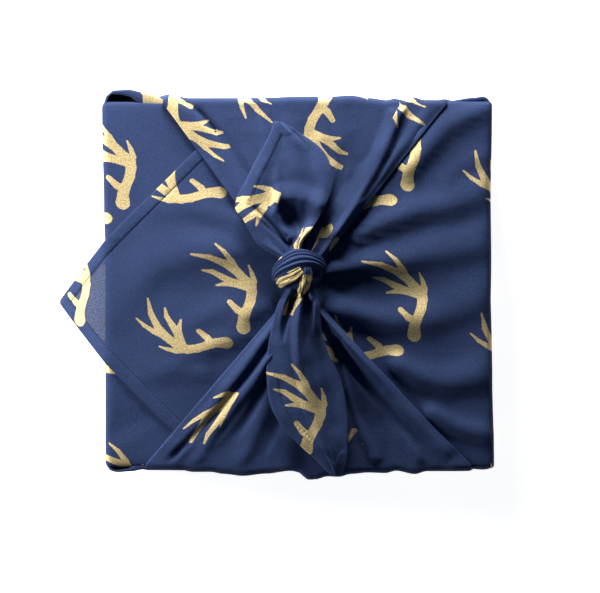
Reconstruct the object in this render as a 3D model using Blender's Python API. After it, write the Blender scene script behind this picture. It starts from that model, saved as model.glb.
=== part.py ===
"""A square wrapping cloth tied round a gift box, in metres, with +Z up.

The origin is under the middle of the box, on the face that the parcel rests on.
The cloth lies under the box with its corners to the left, right, far and near sides.
The left corner is folded over the box and tucked in, the right corner is folded over
it and reaches past the left edge, and the far and near corners are tied in the middle.
The cloth is one solid. Its layers lie a little apart.
"""

import math
from collections import namedtuple

import bmesh
import bpy
from mathutils import Vector

# Driving sizes.
CLOTH_SIDE = 0.700
BOX_WIDTH = 0.254
BOX_DEPTH = 0.240
BOX_HEIGHT = 0.058
BOX_BEVEL = 0.002

# The cloth's layers, the gaps between them and the room round the box.
TRAY_SHEET = 0.0012
FLAP_SHEET = 0.0010
BAND_SHEET = 0.0012
LAYER_GAP = 0.0004
BOX_GAP = 0.0003
SIDE_EASE = 0.0020
END_EASE = 0.0036
FLAP_EDGE_EASE = 0.0011
FLAP_EDGE_STEP = 0.0014

# Heights that follow from the sizes above.
BOX_FLOOR = TRAY_SHEET + BOX_GAP
BOX_TOP = BOX_FLOOR + BOX_HEIGHT
LOWER_FLAP_Z = BOX_TOP + BOX_GAP + FLAP_SHEET / 2
UPPER_FLAP_Z = LOWER_FLAP_Z + FLAP_SHEET + LAYER_GAP
BAND_Z = UPPER_FLAP_Z + (FLAP_SHEET + BAND_SHEET) / 2 + LAYER_GAP
TRAY_X = BOX_WIDTH / 2 + SIDE_EASE + TRAY_SHEET
TRAY_Y = BOX_DEPTH / 2 + END_EASE + TRAY_SHEET
RIM_Z = BOX_TOP - 0.001
BAND_Y = TRAY_Y + LAYER_GAP + BAND_SHEET / 2

# Where the cloth's left and right corners lie across the box, and how they bend. Each is
# rooted inside the tray's side wall.
TIP_Y = -0.0115
TIP_WIDTH = 0.003
HEM_SLOPE = 1.0
FLAP_BEND = 0.0035
TURN_DOWN = 0.042
FLAP_ROOT_Z = BOX_TOP - 0.014
TIP_SLOPE = 39.0
TIP_BEND = 0.008
TURN_BEND = 0.0030

# Distances past the box's edge where a flap's turned-down part changes, and where it starts.
GUSSET_STEPS = (0.0, TURN_BEND * math.pi / 4, TURN_BEND * math.pi / 2, TURN_DOWN)
GUSSET_LEAST = 0.008
GUSSET_START = TRAY_X - TRAY_SHEET / 2 - FLAP_BEND
GUSSET_FULL = GUSSET_START - (TURN_DOWN - GUSSET_LEAST)

# A band comes out of the tray's wall within its root share, bends over the box's edge and
# rises towards the knot past its flat share. Inside the knot it is drawn together.
BAND_ROOT_Z = 0.003
BAND_ROOT_SHARE = 0.0625
BAND_BEND = 0.0045
BAND_LIFT = 0.0055
BAND_FLAT_SHARE = 0.35
GATHER_RISE = 0.003
GATHER_SHARE = 0.30
BAND_COLUMNS = 30
BAND_ROWS = 12
WALL_ROWS = (-1.0, BAND_ROOT_SHARE - 1.0, -0.64, -0.30, -0.0001)

Pocket = namedtuple("Pocket", "side x half_width out")
Band = namedtuple("Band", "side root_x rim_left rim_right knot_left knot_right folds")
Fold = namedtuple("Fold", "start end start_width end_width start_height end_height")
Station = namedtuple("Station", "left right")
End = namedtuple("End", "stations folds")
Wrap = namedtuple("Wrap", "path half_angle thickness pleats")

# Where the tray's rim stands away from the box beside a corner.
POCKETS = (
    Pocket(side=1, x=-0.116, half_width=0.022, out=0.0080),
    Pocket(side=1, x=0.122, half_width=0.020, out=0.0030),
    Pocket(side=-1, x=-0.119, half_width=0.016, out=0.0034),
    Pocket(side=-1, x=0.124, half_width=0.012, out=0.0024),
)

# A fold runs from its start to its end: from a band's rim to the knot, or down a tied end.
# Its places are shares of the sheet's width, from the left edge.
FAR_BAND = Band(
    side=1,
    root_x=0.124,
    rim_left=-0.0950,
    rim_right=0.0998,
    knot_left=Vector((-0.0185, 0.0235)),
    knot_right=Vector((0.0160, 0.0165)),
    folds=(
        Fold(0.050, 0.170, 0.050, 0.200, 0.0040, 0.0050),
        Fold(0.180, 0.400, 0.090, 0.120, 0.0012, 0.0040),
        Fold(0.290, 0.500, 0.050, 0.100, 0.0016, 0.0045),
        Fold(0.460, 0.600, 0.045, 0.090, 0.0030, 0.0045),
        Fold(0.640, 0.720, 0.100, 0.090, 0.0018, 0.0042),
        Fold(0.845, 0.850, 0.045, 0.090, 0.0048, 0.0060),
        Fold(0.945, 0.955, 0.045, 0.070, 0.0034, 0.0050),
    ),
)
NEAR_BAND = Band(
    side=-1,
    root_x=0.124,
    rim_left=-0.1025,
    rim_right=0.1150,
    knot_left=Vector((-0.0110, -0.0160)),
    knot_right=Vector((0.0140, -0.0130)),
    folds=(
        Fold(0.045, 0.110, 0.045, 0.130, 0.0036, 0.0050),
        Fold(0.155, 0.270, 0.055, 0.110, 0.0034, 0.0045),
        Fold(0.290, 0.420, 0.060, 0.110, 0.0038, 0.0040),
        Fold(0.515, 0.560, 0.070, 0.090, 0.0050, 0.0036),
        Fold(0.665, 0.690, 0.060, 0.090, 0.0028, 0.0034),
        Fold(0.800, 0.800, 0.055, 0.080, 0.0032, 0.0034),
        Fold(0.955, 0.930, 0.048, 0.090, 0.0044, 0.0066),
    ),
)

# The tied ends, from inside the knot to the tip. Heights are over BAND_Z.
UPPER_END = End(
    stations=(
        Station((-0.0060, 0.0120, 0.0130), (0.0020, 0.0180, 0.0130)),
        Station((-0.0142, 0.0189, 0.0150), (0.0027, 0.0276, 0.0150)),
        Station((-0.0273, 0.0276, 0.0150), (0.0085, 0.0362, 0.0165)),
        Station((-0.0364, 0.0431, 0.0140), (0.0140, 0.0445, 0.0160)),
        Station((-0.0420, 0.0510, 0.0125), (0.0195, 0.0550, 0.0145)),
        Station((-0.0404, 0.0600, 0.0115), (0.0236, 0.0660, 0.0125)),
        Station((-0.0355, 0.0690, 0.0105), (0.0225, 0.0760, 0.0105)),
        Station((-0.0300, 0.0805, 0.0092), (0.0200, 0.0850, 0.0092)),
        Station((-0.0236, 0.0923, 0.0080), (0.0140, 0.0930, 0.0080)),
        Station((-0.0188, 0.1020, 0.0068), (0.0030, 0.1010, 0.0068)),
        Station((-0.0158, 0.1100, 0.0058), (-0.0100, 0.1094, 0.0058)),
    ),
    folds=(
        Fold(0.080, 0.150, 0.160, 0.200, 0.0030, 0.0000),
        Fold(0.330, 0.300, 0.200, 0.200, 0.0050, 0.0000),
        Fold(0.640, 0.600, 0.280, 0.300, -0.0060, 0.0040),
        Fold(0.960, 0.900, 0.140, 0.200, 0.0040, 0.0000),
    ),
)
LOWER_END = End(
    stations=(
        Station((-0.0040, 0.0040, 0.0120), (0.0060, 0.0040, 0.0120)),
        Station((-0.0078, -0.0066, 0.0135), (0.0109, -0.0083, 0.0135)),
        Station((-0.0128, -0.0140, 0.0140), (0.0128, -0.0140, 0.0150)),
        Station((-0.0181, -0.0303, 0.0130), (0.0158, -0.0303, 0.0135)),
        Station((-0.0209, -0.0491, 0.0110), (0.0215, -0.0480, 0.0115)),
        Station((-0.0209, -0.0640, 0.0096), (0.0286, -0.0630, 0.0096)),
        Station((-0.0185, -0.0810, 0.0086), (0.0320, -0.0780, 0.0086)),
        Station((-0.0100, -0.0960, 0.0080), (0.0338, -0.0940, 0.0082)),
        Station((0.0010, -0.1075, 0.0076), (0.0335, -0.1080, 0.0076)),
        Station((0.0120, -0.1175, 0.0070), (0.0328, -0.1190, 0.0070)),
        Station((0.0212, -0.1268, 0.0060), (0.0290, -0.1280, 0.0060)),
    ),
    folds=(
        Fold(0.130, 0.150, 0.180, 0.200, 0.0040, 0.0000),
        Fold(0.340, 0.300, 0.150, 0.200, -0.0050, 0.0010),
        Fold(0.520, 0.500, 0.130, 0.300, 0.0030, 0.0040),
        Fold(0.700, 0.700, 0.120, 0.200, -0.0030, 0.0000),
        Fold(0.900, 0.850, 0.180, 0.200, 0.0045, 0.0000),
    ),
)
END_FULL_WIDTH = 0.030
END_COLUMNS = 12
END_ROWS = 15

# The knot is a ball with wraps round it. A path is in directions from the ball's middle.
KNOT_CENTRE = Vector((0.0005, 0.0098, BAND_Z + 0.0115))
KNOT_RADII = Vector((0.0143, 0.0142, 0.0098))
WRAPS = (
    Wrap(
        path=((-0.95, -0.45, -0.30), (-1.00, -0.10, 0.25), (-0.60, 0.40, 0.85), (0.00, 0.62, 0.95),
              (0.60, 0.62, 0.75), (0.98, 0.35, 0.25), (0.98, 0.05, -0.30)),
        half_angle=0.52,
        thickness=0.0028,
        pleats=4,
    ),
    Wrap(
        path=((1.00, 0.25, -0.10), (1.00, -0.25, 0.35), (0.70, -0.70, 0.62), (0.20, -0.90, 0.55),
              (-0.10, -0.90, 0.10)),
        half_angle=0.30,
        thickness=0.0030,
        pleats=2,
    ),
    Wrap(
        path=((-0.98, 0.10, -0.10), (-0.85, -0.45, 0.45), (-0.45, -0.80, 0.60), (0.05, -0.95, 0.30)),
        half_angle=0.26,
        thickness=0.0018,
        pleats=2,
    ),
)
WRAP_SIDES = 18
WRAP_STEPS = 12
PLEAT_DEPTH = 0.28

CLOTH_COLOUR = (0.045, 0.068, 0.150, 1.0)
BOX_COLOUR = (0.55, 0.42, 0.28, 1.0)


def smooth(share):
    """An S-shaped rise from 0 to 1."""
    share = min(1.0, max(0.0, share))
    return share * share * (3.0 - 2.0 * share)


def blend(low, high, share):
    return low + (high - low) * share


def bump(place, centre, half_width):
    """A rounded ridge, 1 at its centre and 0 beyond its half width."""
    away = min(1.0, abs(place - centre) / half_width)
    return math.cos(away * math.pi / 2) ** 2


def through(points, share):
    """A point at that share of a smooth curve through the points (Catmull-Rom)."""
    place = min(max(share, 0.0), 1.0) * (len(points) - 1)
    start = min(int(place), len(points) - 2)
    t = place - start
    before, a = Vector(points[max(start - 1, 0)]), Vector(points[start])
    b, after = Vector(points[start + 1]), Vector(points[min(start + 2, len(points) - 1)])
    linear = (b - before) * 0.5
    square = before - a * 2.5 + b * 2.0 - after * 0.5
    cube = (after - before) * 0.5 + (a - b) * 1.5
    return a + (linear + (square + cube * t) * t) * t


def arc(centre, radius, start, end, steps):
    """Points of an arc in a plane, as (across, up) pairs. The angles are in degrees."""
    return [
        (
            centre[0] + radius * math.cos(math.radians(blend(start, end, step / steps))),
            centre[1] + radius * math.sin(math.radians(blend(start, end, step / steps))),
        )
        for step in range(steps + 1)
    ]


def make_material(name, colour, roughness):
    material = bpy.data.materials.new(name)
    material.use_nodes = True
    shader = material.node_tree.nodes["Principled BSDF"]
    shader.inputs["Base Color"].default_value = colour
    shader.inputs["Roughness"].default_value = roughness
    shader.inputs["Metallic"].default_value = 0.0
    return material


def object_from(name, build):
    """A new object whose mesh the function fills through bmesh."""
    mesh = bpy.data.meshes.new(name)
    shape = bmesh.new()
    build(shape)
    bmesh.ops.remove_doubles(shape, verts=shape.verts, dist=0.00002)
    bmesh.ops.recalc_face_normals(shape, faces=shape.faces)
    shape.to_mesh(mesh)
    shape.free()
    made = bpy.data.objects.new(name, mesh)
    bpy.context.scene.collection.objects.link(made)
    return made


def add_grid(shape, rows):
    """Faces between rows of points that all have the same count."""
    grid = [[shape.verts.new(point) for point in row] for row in rows]
    for low, high in zip(grid, grid[1:]):
        for a, b, c, d in zip(low, low[1:], high[1:], high):
            shape.faces.new((a, b, c, d))
    return grid


def make_sheet(name, rows, thickness):
    """A sheet of cloth that the tray is joined with: a helper, so it isn't shown itself."""
    sheet = object_from(name, lambda shape: add_grid(shape, rows))
    layer = sheet.modifiers.new("thickness", "SOLIDIFY")
    layer.thickness = thickness
    layer.offset = 0.0
    return hide(sheet)


def make_slab(name, rows, ups, thickness):
    """A closed sheet whose faces lie on both sides of the rows, along each row's own up."""

    def build(shape):
        over, under = (
            add_grid(shape, [[p + up * (side * thickness / 2) for p in row] for row, up in zip(rows, ups)])
            for side in (1, -1)
        )
        rim = [
            side[0] + [row[-1] for row in side[1:]] + side[-1][-2::-1] + [row[0] for row in side[-2:0:-1]]
            for side in (over, under)
        ]
        for index in range(len(rim[0])):
            after = (index + 1) % len(rim[0])
            shape.faces.new((rim[0][index], rim[0][after], rim[1][after], rim[1][index]))

    return hide(object_from(name, build))


def hide(helper):
    """Marks an object as one that only takes part in a union."""
    helper.hide_render = True
    helper.display_type = "WIRE"
    return helper


def pocket_bulge(x, side, height):
    """How far the tray's wall stands out at a place on its far or near side."""
    out = sum(p.out * bump(x, p.x, p.half_width) for p in POCKETS if p.side == side)
    return out * smooth(height / RIM_Z) ** 2


def tray_ring(inset, height, corner_radius=0.006, corner_steps=4, long_steps=13):
    """A level ring round the tray: a rectangle with round corners, bulged at the pockets."""
    half_x, half_y = TRAY_X - inset, TRAY_Y - inset
    radius = max(corner_radius - inset, 0.001)
    centres = ((1, 1, 0), (-1, 1, 90), (-1, -1, 180), (1, -1, 270))
    ring = []
    for index, (sign_x, sign_y, start) in enumerate(centres):
        centre = (sign_x * (half_x - radius), sign_y * (half_y - radius))
        ring += arc(centre, radius, start, start + 90, corner_steps)
        if index % 2 == 0:
            side_run = half_x - radius
            ring += [
                (-sign_x * side_run * (2 * step / long_steps - 1), sign_y * half_y)
                for step in range(1, long_steps)
            ]
    points = []
    for x, y in ring:
        side = 1 if y > 0 else -1
        share = smooth((abs(y) - half_y * 0.9) / (half_y * 0.1))
        points.append((x, y + side * share * pocket_bulge(x, side, height), height))
    return points


def make_tray():
    """The cloth under the box and up its four sides, open at the top."""
    wall = (0.018, 0.036, 0.052, RIM_Z)
    outer = [(0.0030, 0.0), (0.0009, 0.0009), (0.0, 0.0030)] + [(0.0, z) for z in wall]
    inner = [(TRAY_SHEET, z) for z in reversed(wall)]
    inner += [(TRAY_SHEET, 0.0034), (TRAY_SHEET + 0.0010, TRAY_SHEET)]

    def build(shape):
        rings = [
            [shape.verts.new(point) for point in tray_ring(inset, height)]
            for inset, height in outer + inner
        ]
        for low, high in zip(rings, rings[1:]):
            for step in range(len(low)):
                after = (step + 1) % len(low)
                shape.faces.new((low[step], low[after], high[after], high[step]))
        shape.faces.new(reversed(rings[0]))
        shape.faces.new(rings[-1])

    return object_from("cloth", build)


def flap_path(side, top, end):
    """The flap's way in section, as (x, z) pairs: up out of the wall and over the box."""
    wall_x = TRAY_X - TRAY_SHEET / 2
    bend = arc((wall_x - FLAP_BEND, top - FLAP_BEND), FLAP_BEND, 0, 90, 3)
    points = [(wall_x, FLAP_ROOT_Z)] + bend
    points += [(x, top) for x in (0.112, GUSSET_FULL, 0.060, 0.020, -0.015)]
    return [(side * x, z) for x, z in points + end]


def with_stations(path, reaches):
    """The path with a point added at each of the distances from its tip."""
    made, left = [path[0]], sum(math.dist(a, b) for a, b in zip(path, path[1:]))
    for a, b in zip(path, path[1:]):
        step = math.dist(a, b)
        for reach in sorted(reaches, reverse=True):
            share = (left - reach) / step
            if 0.02 < share < 0.98:
                made.append((blend(a[0], b[0], share), blend(a[1], b[1], share)))
        made.append(b)
        left -= step
    return made


def flap_rows(path, top, edge_y, columns=6):
    """Rows of points across a corner of the cloth, whose hems run at 45 degrees to its tip.

    Past the box's far and near edges a row turns down inside the tray.
    """
    flat = edge_y - TURN_BEND
    crossings = [(flat + side * TIP_Y - TIP_WIDTH / 2) / HEM_SLOPE for side in (-1, 1)]
    path = with_stations(path, [at + over for at in crossings for over in GUSSET_STEPS])
    steps = [math.dist(a, b) for a, b in zip(path, path[1:])]
    rows = []
    for index, (x, z) in enumerate(path):
        reach = TIP_WIDTH / 2 + HEM_SLOPE * sum(steps[index:])
        depth = min(TURN_DOWN, GUSSET_LEAST + max(0.0, GUSSET_START - abs(x)))
        if z < top - 2 * TURN_BEND:
            depth = 0.0
        low, high = max(TIP_Y - reach, -flat), min(TIP_Y + reach, flat)
        row = [(x, blend(low, high, step / columns), z) for step in range(columns + 1)]
        near = turned_down(x, z, low, reach - TIP_Y - flat, depth)
        far = turned_down(x, z, high, reach + TIP_Y - flat, depth)
        rows.append(near[::-1] + row + far)
    return rows


def turned_down(x, z, edge, over, depth):
    """The four points of a flap's row past the box's edge, down to its hem or to the depth."""
    over = max(0.0, min(over, depth))
    turn = math.pi / 2 * TURN_BEND
    side = 1 if edge > 0 else -1
    points = []
    for place in (min(over / 3, turn / 3), min(over * 2 / 3, turn * 2 / 3), min(over, turn), over):
        angle = min(place / TURN_BEND, math.pi / 2)
        out = TURN_BEND * math.sin(angle)
        down = TURN_BEND * (1 - math.cos(angle)) + max(0.0, place - turn)
        points.append((x, edge + side * out, z - down))
    return points


def make_lower_flap():
    """The left corner, folded over the box and tucked down inside the right-hand wall."""
    tuck_x = BOX_WIDTH / 2 + BOX_GAP + FLAP_SHEET / 2
    tuck_bend = FLAP_BEND - 0.0005
    over = [(-x, LOWER_FLAP_Z) for x in (0.060, 0.090, 0.1075)]
    over += [
        (-x, z)
        for x, z in reversed(
            arc((tuck_x - tuck_bend, LOWER_FLAP_Z - tuck_bend), tuck_bend, 0, 90, 3)
        )
    ]
    over += [(-tuck_x, BOX_TOP - down) for down in (0.011, 0.022, 0.034)]
    rows = flap_rows(flap_path(-1, LOWER_FLAP_Z, over), LOWER_FLAP_Z, BOX_DEPTH / 2 + FLAP_EDGE_EASE)
    return make_sheet("lower_flap", rows, FLAP_SHEET)


def make_upper_flap():
    """The right corner, folded over the box with its tip past the left edge."""
    tip_x = TRAY_X - (CLOTH_SIDE / math.sqrt(2) - TRAY_X - UPPER_FLAP_Z)
    bend_x, slope = -TRAY_X + TIP_BEND * 0.4, math.radians(TIP_SLOPE)
    over = [(x, UPPER_FLAP_Z) for x in (-0.085, -0.105)]
    for turn in (0.0, slope / 3, slope * 2 / 3, slope):
        over.append((bend_x - TIP_BEND * math.sin(turn), UPPER_FLAP_Z - TIP_BEND * (1 - math.cos(turn))))
    (x, z), left = over[-1], bend_x - tip_x - TIP_BEND * slope
    over += [
        (x - left * share * math.cos(slope), z - left * share * math.sin(slope))
        for share in (0.35, 0.7, 1.0)
    ]
    edge_y = BOX_DEPTH / 2 + FLAP_EDGE_EASE + FLAP_EDGE_STEP
    rows = flap_rows(flap_path(1, UPPER_FLAP_Z, over), UPPER_FLAP_Z, edge_y)
    return make_sheet("upper_flap", rows, FLAP_SHEET)


def fold_height(folds, share, along):
    """How far the folds raise a sheet at a share of its width. Along is 0 to 1 down their length."""
    ridge, hollow = 0.0, 0.0
    for fold in folds:
        centre = blend(fold.start, fold.end, along)
        width = blend(fold.start_width, fold.end_width, along)
        height = blend(fold.start_height, fold.end_height, along) * bump(share, centre, width)
        ridge, hollow = max(ridge, height), min(hollow, height)
    return ridge + hollow


def band_point(band, share, along):
    """A point of a band. Along runs from -1 at the cloth's root to 0 at the rim and 1 at the knot."""
    if along < 0.0:
        rise = 1.0 + along
        x = blend(
            blend(-band.root_x, band.rim_left, rise), blend(band.root_x, band.rim_right, rise), share
        )
        z = blend(BAND_ROOT_Z, BAND_Z - BAND_BEND, rise)
        rooted = blend(TRAY_Y - TRAY_SHEET / 2, BAND_Y, min(1.0, rise / BAND_ROOT_SHARE))
        out = fold_height(band.folds, share, 0.0) * smooth(rise)
        return Vector((x, band.side * (rooted + out), z))
    rim = Vector((blend(band.rim_left, band.rim_right, share), band.side * (BAND_Y - BAND_BEND)))
    knot = band.knot_left.lerp(band.knot_right, share)
    place = rim.lerp(knot, along)
    height = fold_height(band.folds, share, along)
    lift = BAND_LIFT * smooth((along - BAND_FLAT_SHARE) / (1.0 - BAND_FLAT_SHARE))
    return Vector((place.x, place.y, BAND_Z + lift + height * smooth(0.75 + along)))


def make_band(name, band):
    """Rows up the box's side, round its edge and over the top to the knot."""
    shares = [column / BAND_COLUMNS for column in range(BAND_COLUMNS + 1)]
    out, up = Vector((0.0, band.side, 0.0)), Vector((0.0, 0.0, 1.0))
    rows = [[band_point(band, share, along) for share in shares] for along in WALL_ROWS]
    ups = [out] * len(rows)
    for angle in (30.0, 60.0):
        row = []
        for share in shares:
            low, high = band_point(band, share, WALL_ROWS[-1]), band_point(band, share, 0.0)
            turn = math.radians(angle)
            y = blend(high.y, low.y, math.cos(turn))
            row.append(Vector((low.x, y, blend(low.z, high.z, math.sin(turn)))))
        rows.append(row)
        ups.append(out * math.cos(turn) + up * math.sin(turn))
    for step in range(BAND_ROWS + 1):
        rows.append([band_point(band, share, step / BAND_ROWS) for share in shares])
    rows.append([into_knot(point) for point in rows[-1]])
    ups += [up] * (len(rows) - len(ups))
    return make_slab(name, rows, ups, BAND_SHEET)


def into_knot(point):
    """Where a band's last row ends inside the knot, drawn together and flattened."""
    level = Vector((point.x, point.y, BAND_Z + BAND_LIFT + GATHER_RISE))
    return level.lerp(Vector((KNOT_CENTRE.x, KNOT_CENTRE.y, level.z)), GATHER_SHARE)


def make_end(name, end):
    """Rows across a tied end of the cloth, from the knot to its tip."""
    edges = [[getattr(station, name) for station in end.stations] for name in Station._fields]
    rows = []
    for row in range(END_ROWS + 1):
        along = row / END_ROWS
        left, right = (through(line, along) for line in edges)
        full = min(1.0, (right - left).length / END_FULL_WIDTH)
        points = []
        for column in range(END_COLUMNS + 1):
            share = column / END_COLUMNS
            height = fold_height(end.folds, share, along) * full
            points.append(left.lerp(right, share) + Vector((0.0, 0.0, BAND_Z + height)))
        rows.append(points)
    return make_slab(name, rows, [Vector((0.0, 0.0, 1.0))] * len(rows), BAND_SHEET)


def on_knot(direction, out):
    """A point on the knot's ball, or at a height over it."""
    direction = direction.normalized()
    return KNOT_CENTRE + Vector(d * (radius + out) for d, radius in zip(direction, KNOT_RADII))


def make_wrap(name, wrap):
    """A turn of the knot: a pleated strip that hugs the ball, closed at both ends."""
    middle = [through(wrap.path, step / WRAP_STEPS).normalized() for step in range(WRAP_STEPS + 1)]

    def build(shape):
        rings = []
        for index, centre in enumerate(middle):
            ahead = middle[min(index + 1, WRAP_STEPS)] - middle[max(index - 1, 0)]
            across = ahead.cross(centre).normalized()
            ring = []
            for side in range(WRAP_SIDES):
                turn = 2 * math.pi * side / WRAP_SIDES
                angle = wrap.half_angle * math.cos(turn)
                direction = centre * math.cos(angle) + across * math.sin(angle)
                pleat = 1 - PLEAT_DEPTH * (1 - math.cos(math.cos(turn) * wrap.pleats * math.pi)) / 2
                out = wrap.thickness * math.sin(turn) * (pleat if turn < math.pi else 0.5)
                ring.append(shape.verts.new(on_knot(direction, out)))
            rings.append(ring)
        for low, high in zip(rings, rings[1:]):
            for side in range(WRAP_SIDES):
                after = (side + 1) % WRAP_SIDES
                shape.faces.new((low[side], low[after], high[after], high[side]))
        shape.faces.new(reversed(rings[0]))
        shape.faces.new(rings[-1])

    return hide(object_from(name, build))


def make_ball():
    def build(shape):
        bmesh.ops.create_icosphere(shape, subdivisions=3, radius=1.0)
        bmesh.ops.scale(shape, vec=KNOT_RADII, verts=shape.verts)
        bmesh.ops.translate(shape, vec=KNOT_CENTRE, verts=shape.verts)

    return hide(object_from("knot_ball", build))


def join(whole, helpers):
    """One closed body of the object and its helpers."""
    for helper in helpers:
        union = whole.modifiers.new("with_" + helper.name, "BOOLEAN")
        union.operation = "UNION"
        union.solver = "EXACT"
        union.object = helper


def make_cloth():
    cloth = make_tray()
    helpers = [
        make_lower_flap(),
        make_upper_flap(),
        make_band("far_band", FAR_BAND),
        make_band("near_band", NEAR_BAND),
        make_ball(),
    ]
    helpers += [make_wrap(f"wrap_{number}", wrap) for number, wrap in enumerate(WRAPS)]
    helpers += [
        make_end("upper_end", UPPER_END),
        make_end("lower_end", LOWER_END),
    ]
    join(cloth, helpers)
    cloth.data.materials.append(make_material("navy_cotton", CLOTH_COLOUR, 0.85))
    return cloth


def make_box():
    """The gift box in the cloth, plain and solid."""

    def build(shape):
        bmesh.ops.create_cube(shape, size=1.0)
        bmesh.ops.scale(shape, vec=(BOX_WIDTH, BOX_DEPTH, BOX_HEIGHT), verts=shape.verts)
        bmesh.ops.bevel(
            shape, geom=shape.edges[:], offset=BOX_BEVEL, segments=1, profile=0.5, affect="EDGES"
        )

    box = object_from("gift_box", build)
    box.location = (0.0, 0.0, BOX_FLOOR + BOX_HEIGHT / 2)
    box.data.materials.append(make_material("card", BOX_COLOUR, 0.7))
    return box


def clear_scene():
    for thing in list(bpy.data.objects):
        bpy.data.objects.remove(thing)


clear_scene()
make_cloth()
make_box()
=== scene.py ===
"""Looks for a printed cotton wrapping cloth tied round a gift box, in metres, with +Z up.

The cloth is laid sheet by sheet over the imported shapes: the walls and the underside, the
left corner folded over the box, the right corner over that, the two gathered corners, the
knot and its two loose ends. All of the sheets are joined in one piece of cloth.
"""

from collections import namedtuple
from functools import partial
from math import copysign, cos, exp, hypot, pi, radians, sin, sqrt

import bmesh
import bpy
from mathutils import Matrix, Vector, noise


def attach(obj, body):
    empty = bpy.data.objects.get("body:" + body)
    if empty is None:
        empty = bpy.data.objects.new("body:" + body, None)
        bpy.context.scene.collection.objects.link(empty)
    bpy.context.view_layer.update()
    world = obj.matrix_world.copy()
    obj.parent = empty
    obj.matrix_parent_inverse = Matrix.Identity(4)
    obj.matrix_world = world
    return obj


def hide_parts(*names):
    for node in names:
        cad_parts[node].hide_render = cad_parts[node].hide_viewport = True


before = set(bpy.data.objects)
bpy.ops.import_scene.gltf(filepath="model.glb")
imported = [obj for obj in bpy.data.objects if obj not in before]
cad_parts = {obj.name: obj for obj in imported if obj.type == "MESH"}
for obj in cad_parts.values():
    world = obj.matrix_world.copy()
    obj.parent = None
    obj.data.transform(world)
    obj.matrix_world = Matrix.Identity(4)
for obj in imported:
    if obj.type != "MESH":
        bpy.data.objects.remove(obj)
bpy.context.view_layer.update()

MM = 0.001

# The parcel's sizes. Heights are of the cloth's upper faces.
SIDE_X = 0.1302
SIDE_Y = 0.124
ROOT_X = 0.124
CORNER = 0.005
BOTTOM_BEND = 0.003
ROOT_Z = 0.056
LOWER_TOP = 0.0608
UPPER_TOP = 0.0622
BAND_TOP = 0.0638
EDGE_BEND = 0.0042
TURN_BEND = 0.003
TURN_DEPTH = 0.042
THICKNESS = 0.00055

# The overhanging corner and the tucked one.
TIP_Y = -0.0115
TIP_HALF = 0.0015
UPPER_REACH = 0.3045
TIP_BEND = 0.008
TIP_SLOPE = 33.0
TUCK_X = 0.1278
LOWER_REACH = 0.303

# The sewn hem: its width, its height, the lines along it that keep it crisp, and the distance
# past which cloth counts as far from it.
HEM = 0.0082
HEM_RISE = 0.00045
HEM_CUTS = (0.0005, HEM - 0.0013, HEM - 0.0005, HEM, HEM + 0.0005, HEM + 0.0014)
FAR_FROM_SEAM = 0.02
NO_SEAM = (FAR_FROM_SEAM, 0.0)

# The printed pattern repeats over this cell, a little skewed by the pull of the knot. Its two
# drawings stand at these places.
CELL = (0.1147, 0.101)
SKEW = 0.044
UPRIGHT_BASE = (-0.038, -0.029)
LYING_BASE = (-0.0515, -0.041)
MOTIF_MIDDLE = (-0.012, 0.024)
LYING_SCALE = (1.2, 0.93)
LIMB_BLEND = 0.0009
INK_EDGE = 0.00012

# Cloth that is laid this far along the print is plain.
PLAIN = 4.0

# How the print lies: moved on the lower corner, drawn in by the folds at the right edge, a little
# out of the side's line at a folded corner's root, and turned, in degrees, round an antler's base
# on the far left pocket's rim, which ends at this x.
LOWER_SHIFT = (0.082, -0.084)
RIGHT_DRIFT = (0.0052, -0.0085)
ROOT_PRINT_OUT = 0.0044
LIP_PRINT = (200, (-0.1015, 0.133))
LIP_PRINT_END = -0.088

Crease = namedtuple("Crease", "path widths heights")
Fold = namedtuple("Fold", "start end start_width end_width start_height end_height")
Band = namedtuple("Band", "side rim_left rim_right knot_left knot_right rim crown folds creases")
End = namedtuple("End", "stations folds creases hem roll fade")
Wrap = namedtuple("Wrap", "path half_angles thickness pleats patches")
Patch = namedtuple("Patch", "low high start end base angle")


def rows_of(kind, *rows):
    """A table whose rows are all of one kind."""
    return tuple(kind(*row) for row in rows)


# How far the walls stand out, in mm, by place along each side.
LEFT_OUT = ((-118, 130.2), (20, 130.2), (50, 129.2), (118, 127.8))
RIGHT_OUT = ((-122, 127.9), (-57, 129.2), (17, 130.6), (60, 130.2), (118, 129.2))
FAR_POCKETS = (
    (-128.5, 1.0), (-126.7, 4.6), (-122, 7.6), (-113, 8.0), (-99.7, 5.3), (-93, 2.6), (-84, 0.4),
    (-70, 0), (70, 0), (92, 0.0), (101, 0.4), (118, 2.6), (124, 3.4), (127.5, 2.4), (130, 1.0),
)
NEAR_POCKETS = (
    (-129, 0.2), (-127, 1.4), (-122, 2.4), (-113, 1.8), (-104, 0.4), (-96, 0), (96, 0),
    (108, 0.1), (114.5, 0.3), (122.5, 0.8), (126, 0.6), (130, 0.0),
)
FAR_RIM = (
    (-100, 126.2), (-91, 126.9), (-86.5, 129.6), (-81, 127.2), (-76, 126.3), (-40, 126.3),
    (-20, 126.6), (0, 127.3), (20, 127.2), (36, 128.1), (48, 126.4), (61, 124.9), (66, 126.0),
    (72, 125.0), (79, 127.0), (86, 125.0), (96, 124.9), (99.5, 125.6),
)
NEAR_RIM = (
    (-103, 125.0), (-90, 125.0), (-77, 125.2), (-74, 126.2), (-60, 126.2), (-51, 127.6),
    (-38, 128.9), (-22, 127.4), (-5, 125.4), (0, 126.2), (4, 129.4), (7, 131.6), (12, 131.2),
    (20, 129.2), (28, 129.5), (36, 127.6), (48, 126.6), (60, 127.0), (67, 125.4), (80, 127.7),
    (88, 125.7), (115, 125.6),
)

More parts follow.
